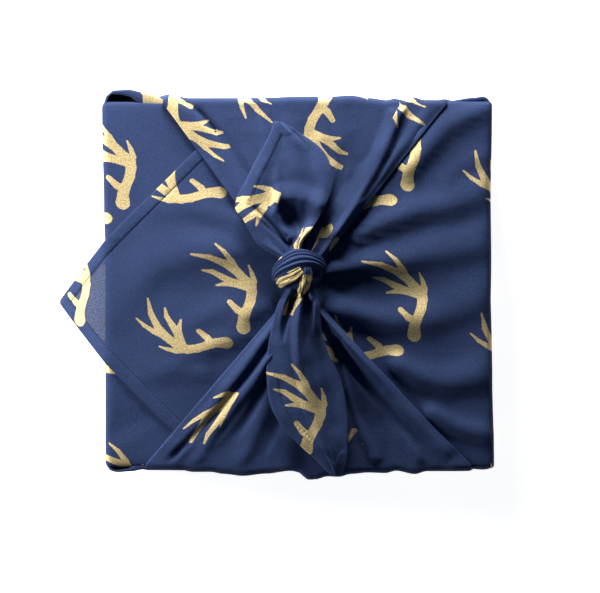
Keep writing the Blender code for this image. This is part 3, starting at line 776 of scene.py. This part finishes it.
def flap_point(flap, a, b):
    """A point of a flap, at a place across and a distance from its root."""
    x, z, facing = flap_section(flap, b)
    edge = flap.near if a < 0.0 else flap.far
    inner = abs(a) - edge
    angle = min(max(inner, 0.0) / TURN_BEND, pi / 2)
    down = max(0.0, inner - quarter(TURN_BEND))
    y = a
    if inner > 0.0:
        y = copysign(edge + TURN_BEND * sin(angle) - min(down * 0.2, 0.0022), a)
    fall = TURN_BEND * (1.0 - cos(angle)) + down
    gaps = [(flap.reach - b + TIP_HALF - (a - TIP_Y) * sign) / sqrt(2.0) for sign in (1, -1)]
    away, lengthwise = max(0.0, min(gaps)), max(gaps)
    on_top = smooth((b - 0.0015) / (flap_wall(flap) + quarter(EDGE_BEND) + 0.003))
    on_top *= smooth(-inner / 0.006 + 0.4)
    swell = (crease_height(flap.creases, x, y) + pull(x, y) + tent(x, y)) * on_top
    swell += (waver(x, y, flap.top * 40, 0.045, 0.0009) * on_top
              + waver(x, y, flap.top * 90, 0.016, 0.00022) * on_top)
    raised = facing * (max(swell, flap.hollow) + hem_height(away))
    point = Vector((x, y, z - fall)) + raised * (1.0 if inner < 0 else cos(angle))
    flat_x = flap.side * (SIDE_X + ROOT_PRINT_OUT - b) + flap.shift[0]
    flat_y = a + flap.slack * smooth((-a - 0.07) / 0.03) + flap.shift[1]
    drift = right_drift(x, a) if flap.side > 0 else (0.0, 0.0)
    flat = printed(flat_x + drift[0], flat_y + drift[1])
    return point, flat, (min(away, FAR_FROM_SEAM), lengthwise)


def make_flap(cloth, name, flap):
    """A corner of the cloth, laid up from the wall and over the box."""
    wall, turn, reach = flap_wall(flap), quarter(EDGE_BEND), flap.reach
    past = [quarter(TURN_BEND) * share / 4 for share in range(5)]
    past += [0.008, 0.016, 0.028, TURN_DEPTH]
    across = [-flap.near - value for value in reversed(past)]
    across += SIDE_STEPS + [flap.far + value for value in past]
    along = [0.0, wall] + [wall + turn * share / 5 for share in (1, 2, 3, 4, 5)]
    along += steps(wall + turn + 0.003, reach, flap.rows)
    trims = [((TIP_Y + sign * TIP_HALF, reach), (sign, 1.0)) for sign in (-1, 1)]
    trims += [((-flap.near, 0.002), (-1.0, -1.0)), ((flap.far, 0.002), (1.0, -1.0))]
    trims += [((TIP_Y, reach), (0.0, 1.0))]
    cuts = [((TIP_Y + sign * TIP_HALF, reach - inset * sqrt(2.0)), (sign, 1.0))
            for inset in HEM_CUTS for sign in (-1, 1)]
    cloth.lay(name, across, along, partial(flap_point, flap), up, trims, cuts)


FLAT_TIP = SIDE_X - EDGE_BEND - (UPPER_REACH - flap_wall(UPPER_FLAP) - quarter(EDGE_BEND))


def flap_top(x, y):
    """The height of the folded-over corners at a place. The upper one has a pointed outline."""
    if abs(y - TIP_Y) < x - FLAT_TIP:
        return UPPER_TOP + max(-0.0002, crease_height(UPPER_CREASES, x, y)) + tent(x, y) + 0.0005
    return LOWER_TOP + tent(x, y) + 0.0003


# The gathered corners.


def fold_height(folds, share, along):
    """How far the folds raise a sheet at a share of its width, at 0 to 1 down their length."""
    ridge, hollow = 0.0, 0.0
    for fold in folds:
        centre = blend(fold.start, fold.end, along)
        width = blend(fold.start_width, fold.end_width, along)
        height = blend(fold.start_height, fold.end_height, along) * bump(share, centre, width)
        ridge, hollow = max(ridge, height), min(hollow, height)
    return ridge + hollow


def rolled_columns(count, roll, under):
    """Columns across a sheet whose two edges are folded under: (share, inset, lift)."""
    turns = [radians(turn) for turn in (180, 150, 120, 90, 60, 30)]
    edge = [(under, 0.0)]
    edge += [(roll * (1.0 - sin(turn)), (1.0 + cos(turn)) / 2) for turn in turns]
    columns = [(0.0, inset, lift) for inset, lift in edge]
    columns += [(share, roll * (1.0 - 2.0 * share), 1.0) for share in steps(0.0, 1.0, count)]
    columns += [(1.0, -inset, lift) for inset, lift in reversed(edge)]
    return columns


def band_surface(band, share, along):
    """A point on top of a band, from the rim to the knot, and the height of what lies under it."""
    rim_x = blend(band.rim_left, band.rim_right, share)
    rim_y = read_off(band.rim, rim_x / MM) * MM - RIM_BEND
    knot = band.knot_left.lerp(band.knot_right, share)
    x, y = blend(rim_x, knot.x, along), blend(band.side * rim_y, knot.y, along)
    lift = 0.0055 * smooth((along - 0.35) / 0.65)
    height = fold_height(band.folds, share, along) * smooth(0.6 + along)
    height += crease_height(band.creases, x, y) * smooth(along / 0.05)
    height += band.crown * bump(share, 0.42, 0.6) * smooth(along / 0.75)
    height += waver(x, y, 3.0, 0.02, 0.0009) + waver(x, y, 5.0, 0.008, 0.0003)
    covered = bump(hypot(x - PRESSED_AT[0], y - PRESSED_AT[1]), 0.0, PRESSED_REACH)
    pressed = PRESSED_DEPTH * smooth(covered * 1.6)
    ground = flap_top(x, y)
    z = BAND_TOP + lift + height + tent(x, y) * 0.5 - pressed
    return Vector((x, y, max(z, ground + 0.0009))), ground


# Rows up a band: below 0 its foot, 0 to 1 the wall, 1 to 2 the bend at the rim, 2 to 3 the top,
# and one more inside the knot.
FOOT_TURN = 0.07
BAND_ROWS = [-0.14, -0.1] + steps(-FOOT_TURN, 0.0, 3)[:-1] + steps(0.0, 1.0, 12)[1:-1]
BAND_ROWS += [0.96, 0.999] + [1.0 + share / 5 for share in (1, 2, 3, 4)]
BAND_ROWS += [2.0 + share for share in steps(0.0, 1.0, 50)] + [3.05]


def band_over(band, share, inset, lift, gone):
    """A point of a band over the box, where it runs into the knot, and how far in from the wall's
    line that is."""
    reach = min(gone, 1.0)
    point, ground = band_surface(band, share, reach)
    across = Vector((1.0, 0.0, 0.0))
    if share in (0.0, 1.0):
        left, right = (band_surface(band, edge, reach)[0] for edge in (0.0, 1.0))
        across = (right - left).xy.normalized().to_3d()
    point = point + across * inset
    point.z = blend(ground + 0.0003, point.z, lift)
    if gone > 1.0:
        point = point.lerp(Vector((KNOT_CENTRE.x, KNOT_CENTRE.y, point.z)), 0.3)
    return point, -(band.side * point.y - SIDE_Y)


def band_up(band, share, inset, lift, b):
    """A point of a band up the wall, with its foot and its bend at the rim, and how far in from
    the wall's line that is, negative down the wall."""
    top, _ = band_surface(band, share, 0.0)
    rise = min(max(b, 0.0), 1.0)
    wall_z, rim_y = top.z - RIM_BEND, abs(top.y) + RIM_BEND
    foot, under = SIDE_Y + 0.0006, SIDE_Y + 0.0002
    if b < 0.0:
        angle = pi / 2 * (1.0 + b / FOOT_TURN) if b > -FOOT_TURN else 0.0
        x = blend(-ROOT_X, ROOT_X, share)
        y = foot - 0.0034 * (1.0 - sin(angle)) - max(0.0, -FOOT_TURN - b) * 0.05
        z = 0.0036 * (1.0 - cos(angle)) + 0.0006
    elif b <= 1.0:
        left, right = blend(-ROOT_X, band.rim_left, rise), blend(ROOT_X, band.rim_right, rise)
        x, z = blend(left, right, share), blend(0.0042, wall_z, rise)
        y = blend(foot, rim_y, smooth(rise) * 0.5 + rise * 0.5)
        folds = fold_height(band.folds, share, 0.0) * 0.35 * sin(rise * pi)
        y += folds + waver(x, z * 1.2, band.side * 2.0, 0.03, 0.0012) * sin(rise * pi)
    else:
        angle = (b - 1.0) * pi / 2
        x = top.x
        y = rim_y - RIM_BEND * (1.0 - cos(angle))
        z = wall_z + RIM_BEND * sin(angle)
    distance = -quarter(RIM_BEND) * (2.0 - b)
    if b <= 1.0:
        distance = -quarter(RIM_BEND) - (wall_z - z)
    y = blend(under if b < 1.0 else min(y, under), y, lift)
    if b >= 1.0:
        z = blend(z - 0.0008, z, lift)
    return Vector((x + inset, band.side * y, z)), distance


def make_band(cloth, name, band, patches):
    columns = rolled_columns(88, 0.0016, 0.006)

    def place(a, b):
        column = columns[round(a)]
        part = band_over(band, *column, b - 2.0) if b >= 2.0 else band_up(band, *column, b)
        point, distance = part
        u = blend(band.rim_left, band.rim_right, column[0]) * 0.35 + point.x * 0.65
        return point, (u, band.side * (SIDE_Y - distance)), NO_SEAM

    cloth.lay(name, list(range(len(columns))), BAND_ROWS, place,
              lambda centre: Vector((0.0, band.side * 0.5, 1.0)),
              stamp=lambda a, b, flat: stamped(patches, columns[round(a)][0], b - 2.0, flat))


# The loose ends.


def make_end(cloth, name, end, rows, patches):
    edges = list(zip(*end.stations))
    columns = rolled_columns(52, end.roll, 0.007)
    hem = [Vector(point) for point in end.hem]
    lengths = [0.0]
    for a, b in zip(hem, hem[1:]):
        lengths.append(lengths[-1] + (b - a).length)

    def place(a, b):
        share, inset, lift = columns[round(a)]
        left, right = (through(line, b) for line in edges)
        width = (right - left).length
        full = min(1.0, width / FULL_WIDTH)
        inset = max(-width * 0.45, min(width * 0.45, inset))
        point = left.lerp(right, share) + (right - left).normalized() * inset
        height = fold_height(end.folds, share, min(1.0, b / end.fade)) * full
        height += crease_height(end.creases, point.x, point.y) * full
        height += (waver(point.x, point.y, 7.0, 0.018, 0.0009)
                   + waver(point.x, point.y, 9.0, 0.007, 0.0003))
        away, gone, _ = nearest_on(end.hem, point.x / MM, point.y / MM)
        away, gone = away * MM, gone * (len(hem) - 1)
        index = min(int(gone), len(hem) - 2)
        lengthwise = blend(lengths[index], lengths[index + 1], gone - index) * MM
        z = BAND_TOP + point.z + (height + hem_height(away))
        z = blend(z - 2.0 * end.roll, z, lift)
        seam = (min(away, FAR_FROM_SEAM), lengthwise)
        return Vector((point.x, point.y, z)), (point.x, point.y), seam

    cloth.lay(name, list(range(len(columns))), steps(0.0, 1.0, rows), place, up,
              stamp=lambda a, b, flat: stamped(patches, columns[round(a)][0], b, flat))


# The knot.


def on_knot(direction, out):
    """A point on the knot's ball, or at a height over it."""
    direction = direction.normalized()
    return KNOT_CENTRE + Vector(d * (radius + out) for d, radius in zip(direction, KNOT_RADII))


def out_of_knot(centre):
    return centre - KNOT_CENTRE


def wrap_point(wrap, a, b):
    """A point of a turn of the knot, which hugs the ball, with lines pressed in between pleats."""
    centre = through(wrap.path, b).normalized()
    ahead = through(wrap.path, min(b + 0.02, 1.0)) - through(wrap.path, max(b - 0.02, 0.0))
    across = ahead.cross(centre).normalized()
    angle = through([(half, 0.0, 0.0) for half in wrap.half_angles], b).x * a
    direction = centre * cos(angle) + across * sin(angle)
    body = max(0.0, 1.0 - abs(a) ** 5)
    sway = noise.noise(Vector((a * 0.8, b * 2.6, wrap.thickness * 700.0))) * 0.16
    pressed = sum(bump(a + sway, line, PLEAT_WIDTH) for line in wrap.pleats)
    out = wrap.thickness * body - pressed * PLEAT_DEPTH - 0.0012 * abs(a) ** 8
    out += noise.noise(Vector((a * 2.2, b * 4.0, wrap.thickness * 900.0))) * 0.0009
    point = on_knot(direction, out)
    return point, point.xy, NO_SEAM


def make_wrap(cloth, name, wrap):
    cloth.lay(name, steps(-1.06, 1.06, 50), steps(0.0, 1.0, 36), partial(wrap_point, wrap),
              out_of_knot, stamp=lambda a, b, flat: stamped(wrap.patches, a, b, flat))


def make_ball(cloth):
    def place(a, b):
        turn, tilt = a * 2.0 * pi, (b - 0.5) * pi * 0.98
        direction = Vector((cos(turn) * cos(tilt), sin(turn) * cos(tilt),
                            sin(tilt)))
        out = noise.noise(direction * 1.6) * 0.0012
        return on_knot(direction, out), (a * 0.09 + PLAIN, b * 0.045), NO_SEAM

    cloth.lay("knot_core", steps(0.0, 1.0, 36), steps(0.0, 1.0, 18), place, out_of_knot)


# Materials.


class Value:
    """A socket that can stand in an expression."""

    def __init__(self, finish, socket):
        self.finish, self.socket = finish, socket

    def maths(self, operation, *others, clamp=False):
        settings = {"operation": operation, "use_clamp": clamp}
        return self.finish.node("ShaderNodeMath", settings, self, *others)

    def __add__(self, other):
        return self.maths("ADD", other)

    def __sub__(self, other):
        return self.maths("SUBTRACT", other)

    def __rsub__(self, other):
        return self.finish.node("ShaderNodeMath", {"operation": "SUBTRACT"}, other, self)

    def __mul__(self, other):
        return self.maths("MULTIPLY", other)

    def __truediv__(self, other):
        return self.maths("DIVIDE", other)

    __radd__, __rmul__ = __add__, __mul__

    def clamped(self):
        return self.maths("ADD", 0.0, clamp=True)

    def rise(self, low, high):
        """0 below the low value, 1 above the high one."""
        return ((self - low) / (high - low)).clamped()


class Finish:
    """A material, and the ways to add nodes to it."""

    def __init__(self, name):
        self.material = bpy.data.materials.new(name)
        self.material.use_nodes = True
        self.nodes = self.material.node_tree.nodes
        self.links = self.material.node_tree.links

    def node(self, kind, settings, *values, out=0, **named):
        """Adds a node, sets it, and feeds its sockets by order or by name."""
        made = self.nodes.new(kind)
        for key, value in settings.items():
            setattr(made, key, value)
        self.feed(made, values, named)
        return Value(self, made.outputs[out])

    def feed(self, node, values, named):
        """Links or sets a node's sockets. Nothing is done where a value is None."""
        for key, value in [*enumerate(values), *named.items()]:
            socket = node.inputs[key if isinstance(key, int) else key.replace("_", " ")]
            if isinstance(value, Value):
                self.links.new(value.socket, socket)
            elif value is not None:
                socket.default_value = value

    def surface(self, **named):
        """Feeds the shader's own sockets."""
        self.feed(self.nodes["Principled BSDF"], (), named)
        return self.material

    def vector(self, operation, *values, out=0):
        return self.node("ShaderNodeVectorMath", {"operation": operation}, *values, out=out)

    def mix(self, kind, share, low, high):
        """A blend of two colours or of two vectors."""
        first, out = {"RGBA": (6, 2), "VECTOR": (4, 1)}[kind]
        skipped = [None] * (first - 1)
        return self.node("ShaderNodeMix", {"data_type": kind}, share, *skipped, low, high, out=out)

    def split(self, vector):
        """A vector's three numbers."""
        parts = self.node("ShaderNodeSeparateXYZ", {}, vector).socket.node.outputs
        return [Value(self, part) for part in parts]

    def noise(self, vector, scale, detail=2.0, roughness=0.5):
        return self.node("ShaderNodeTexNoise", {}, Vector=vector, Scale=scale, Detail=detail,
                         Roughness=roughness)

    def relief(self, strength, height):
        return self.node("ShaderNodeBump", {}, Strength=strength, Distance=1.0, Height=height)


def antler_distance(finish, place):
    """How far a place lies outside the printed antler, in metres, negative inside it."""
    total = None
    for limb in ANTLER:
        for (x0, y0, r0), (x1, y1, r1) in zip(limb, limb[1:]):
            start, span = Vector((x0, y0, 0.0)) * MM, Vector((x1 - x0, y1 - y0, 0.0)) * MM
            scale = span / span.length_squared
            along = finish.vector("DOT_PRODUCT", place, scale, out="Value")
            along = along.maths("ADD", -start.dot(scale), clamp=True)
            nearest = finish.vector("MULTIPLY_ADD", along, span, start)
            away = finish.vector("DISTANCE", place, nearest, out="Value")
            away = away + along.maths("MULTIPLY_ADD", (r0 - r1) * MM, -r0 * MM)
            total = away if total is None else total.maths("SMOOTH_MIN", away, LIMB_BLEND)
    return total


def print_mask(finish):
    """1 on the gold print and 0 on the plain cloth, and the place in the print. Of the upright
    and the lying antlers, each place shows the one whose middle is nearer."""
    flat = finish.node("ShaderNodeUVMap", {"uv_map": "print"})
    spots = []
    middles = (
        (UPRIGHT_BASE[0] + MOTIF_MIDDLE[0], UPRIGHT_BASE[1] + MOTIF_MIDDLE[1]),
        (LYING_BASE[0] - MOTIF_MIDDLE[1] / LYING_SCALE[1],
         LYING_BASE[1] - MOTIF_MIDDLE[0] / LYING_SCALE[0]),
    )
    for x, y in middles:
        cells = finish.vector("DIVIDE", finish.vector("SUBTRACT", flat, (x, y, 0.0)), (*CELL, 1.0))
        whole = finish.vector("FLOOR", finish.vector("ADD", cells, (0.5, 0.5, 0.5)))
        within = finish.vector("SUBTRACT", cells, whole)
        spots.append(finish.vector("MULTIPLY", within, (*CELL, 0.0)))
    x, y, _ = finish.split(spots[1])
    lying = finish.node("ShaderNodeCombineXYZ", {}, y * -LYING_SCALE[0], x * -LYING_SCALE[1])
    near = [finish.vector("LENGTH", spot, out="Value") for spot in spots]
    is_lying = near[0].maths("GREATER_THAN", near[1])
    place = finish.mix("VECTOR", is_lying, spots[0], lying)
    place = finish.vector("ADD", place, (*MOTIF_MIDDLE, 0.0))
    ragged = finish.noise(flat, 900.0) * 0.0006 + 0.0001
    gold = (ragged - antler_distance(finish, place)).rise(-INK_EDGE, INK_EDGE)
    return gold * finish.split(flat)[0].maths("LESS_THAN", PLAIN / 2), flat


NAVY = (0.0262, 0.048, 0.14, 1.0)
NAVY_DEEP = (0.0152, 0.0276, 0.08, 1.0)
# The stitch line's colour: a darker thread, and painted shade in its groove and holes.
THREAD_AND_GROOVE_SHADE = (0.01, 0.016, 0.045, 1.0)
SHEEN_TINT = (0.55, 0.65, 1.0, 1.0)
GOLD = (0.3, 0.215, 0.08, 1.0)
GOLD_LIGHT = (0.66, 0.555, 0.32, 1.0)
CARD = (0.42, 0.3, 0.19, 1.0)
CARD_LIGHT = (0.6, 0.46, 0.31, 1.0)
FLOOR = (0.9, 0.9, 0.9, 1.0)
FLOOR_LIGHT = (0.93, 0.93, 0.93, 1.0)
WHITE = (1.0, 1.0, 1.0, 1.0)

# How far apart the cloth's threads and the hem's stitches are.
THREAD_PITCH = 0.00058
STITCH_PITCH = 0.0028


def cotton(name, sheer):
    """Navy cotton with a gold print, in a fine plain weave, with its sewn hem."""
    finish = Finish(name)
    gold, flat = print_mask(finish)
    warp, weft = ((value * (2.0 * pi / THREAD_PITCH)).maths("SINE")
                  for value in finish.split(flat)[:2])
    weave = warp * weft
    streaks = finish.node("ShaderNodeMapping", {}, Vector=flat, Scale=(260.0, 1400.0, 1.0))
    slub = finish.noise(streaks, 1.0)
    mottle = finish.noise(flat, 24.0, 3.0)
    grain = finish.noise(flat, 800.0, 3.0, 0.6)
    speckle = finish.noise(flat, 1000.0, 3.0, 0.7)

    # The hem's line of stitches. Its colour is partly a darker thread and partly painted shade in
    # the stitch groove and at its holes.
    seam = finish.node("ShaderNodeUVMap", {"uv_map": "seam"})
    from_edge, down_edge, _ = finish.split(seam)
    line = (from_edge - HEM).maths("ABSOLUTE")
    stitch = 1.0 - line.rise(0.00018, 0.00042)
    beat = (down_edge * (2.0 * pi / STITCH_PITCH)).maths("SINE")
    stitch_hole_shade = stitch * beat.rise(0.55, 0.95)
    pucker = (1.0 - line.rise(0.0004, 0.0042)) * beat

    shade = (mottle * 0.6 + slub * 0.8 + grain * 2.0 + weave * 0.05 - 1.2).clamped()
    plain = finish.mix("RGBA", shade, NAVY_DEEP, NAVY)
    # Painted shade: the stitch line and its holes are darkened towards the thread colour, part
    # thread, part shade in the groove.
    plain = finish.mix("RGBA", stitch * 0.45 + stitch_hole_shade * 0.35, plain, THREAD_AND_GROOVE_SHADE)
    ink = finish.mix("RGBA", (speckle * 3.4 - 1.15).clamped(), GOLD, GOLD_LIGHT)
    height = weave * 0.00005 + slub * 0.00006 + pucker * 0.00006 - stitch * 0.00012
    height = height + gold * 0.00002 + finish.noise(flat, 140.0, 3.0) * 0.0003
    finish.surface(
        Base_Color=finish.mix("RGBA", gold, plain, ink),
        Roughness=0.86 - gold * 0.34 - speckle * 0.06,
        Metallic=gold * 0.45,
        Sheen_Weight=0.04,
        Sheen_Roughness=0.45,
        Sheen_Tint=SHEEN_TINT,
        Specular_IOR_Level=0.14,
        Normal=finish.relief(0.8, height),
    )
    if sheer:
        # The single cloth past the hem lets light through, unevenly, where it isn't printed.
        open_cloth = from_edge.rise(HEM, HEM + 0.0008) * (1.0 - gold)
        mesh = finish.noise(flat, 900.0, 2.0, 0.6) * 0.4 - 0.01
        finish.surface(Alpha=1.0 - open_cloth * mesh)
    return finish.material


def card():
    """Plain brown card with a faint fibre."""
    finish = Finish("box_card")
    place = finish.node("ShaderNodeTexCoord", {}, out="Object")
    fibre = finish.noise(place, 420.0, 4.0, 0.6)
    cloudy = finish.noise(place, 22.0, 3.0)
    shade = (fibre * 0.6 + cloudy * 0.5 - 0.05).clamped()
    return finish.surface(
        Base_Color=finish.mix("RGBA", shade, CARD, CARD_LIGHT),
        Roughness=0.68 + fibre * 0.2,
        Normal=finish.relief(0.3, fibre * 0.0001),
    )


def paper_floor():
    """A matt, nearly white studio floor."""
    finish = Finish("studio_floor")
    place = finish.node("ShaderNodeTexCoord", {}, out="Object")
    return finish.surface(
        Base_Color=finish.mix("RGBA", finish.noise(place, 3.0), FLOOR, FLOOR_LIGHT),
        Roughness=0.9,
        Emission_Color=WHITE,
        Emission_Strength=0.92,
    )


# Put together.


def make_cloth():
    cloth = Cloth()
    make_walls(cloth)
    make_flap(cloth, "lower_flap", LOWER_FLAP)
    make_flap(cloth, "upper_flap", UPPER_FLAP)
    make_band(cloth, "far_band", FAR_BAND, FAR_PATCHES)
    make_band(cloth, "near_band", NEAR_BAND, NEAR_PATCHES)
    make_ball(cloth)
    for number, wrap in enumerate(WRAPS):
        make_wrap(cloth, f"wrap_{number}", wrap)
    make_end(cloth, "upper_end", UPPER_END, 72, UPPER_END_PATCHES)
    make_end(cloth, "lower_end", LOWER_END, 78, LOWER_END_PATCHES)
    piece = cloth.join("printed_cloth")
    piece.data.materials.append(cotton("navy_cotton", sheer=False))
    piece.data.materials.append(cotton("navy_cotton_sheer", sheer=True))
    for face in piece.data.polygons:
        face.material_index = int(face.center.x < -SIDE_X - 0.001)
    layer = piece.modifiers.new("thickness", "SOLIDIFY")
    layer.thickness = THICKNESS
    layer.offset = -1.0
    return piece


printed_cloth = make_cloth()
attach(printed_cloth, "root")
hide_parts("cloth")

box_card = card()
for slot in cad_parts["gift_box"].material_slots:
    slot.material = box_card


def make_floor():
    shape = bmesh.new()
    bmesh.ops.create_grid(shape, x_segments=8, y_segments=8, size=3.0)
    floor = make_object("floor", shape)
    floor.data.transform(Matrix.Translation((0.0, 0.0, -0.0004)))
    floor.data.materials.append(paper_floor())
    return floor


make_floor()

WARM = (1.0, 0.96, 0.89)
LIT_POINT = Vector((0.0, 0.0, 0.06))
SKY = (0.46, 0.72, 1.0, 1.0)


def add_light(name, energy, size, place):
    """A round warm lamp, aimed at the parcel's top."""
    light = bpy.data.lights.new(name, "AREA")
    light.energy = energy
    light.color = WARM
    light.shape = "DISK"
    light.size = size
    lamp = add_object(name, light)
    lamp.location = place
    lamp.rotation_euler = (LIT_POINT - Vector(place)).to_track_quat("-Z", "Y").to_euler()


add_light("left", 4.3, 0.24, (-0.5, 0.05, 0.22))
add_light("far", 10.8, 0.26, (-0.05, 0.58, 0.225))

world = bpy.data.worlds.new("studio")
world.use_nodes = True
sky = world.node_tree.nodes["Background"]
sky.inputs["Color"].default_value = SKY
sky.inputs["Strength"].default_value = 0.06
bpy.context.scene.world = world
bpy.context.scene.view_settings.view_transform = "Standard"

# The camera looks straight down. One pixel of the 600 x 593 image is 0.674 mm on the parcel's
# top, and the parcel's middle is at pixel (298, 285).
IMAGE = (600, 593)
MIDDLE_PIXEL = (298, 285)
PIXEL = 0.000674
CAMERA_HEIGHT = 1.9
SENSOR = 36.0
camera = bpy.data.cameras.new("camera")
camera.sensor_width = SENSOR
camera.lens = SENSOR * (CAMERA_HEIGHT - UPPER_TOP) / (IMAGE[0] * PIXEL)
viewer = add_object("camera", camera)
viewer.location = (
    (IMAGE[0] / 2 - MIDDLE_PIXEL[0]) * PIXEL,
    (MIDDLE_PIXEL[1] - IMAGE[1] / 2) * PIXEL,
    CAMERA_HEIGHT,
)
bpy.context.scene.camera = viewer
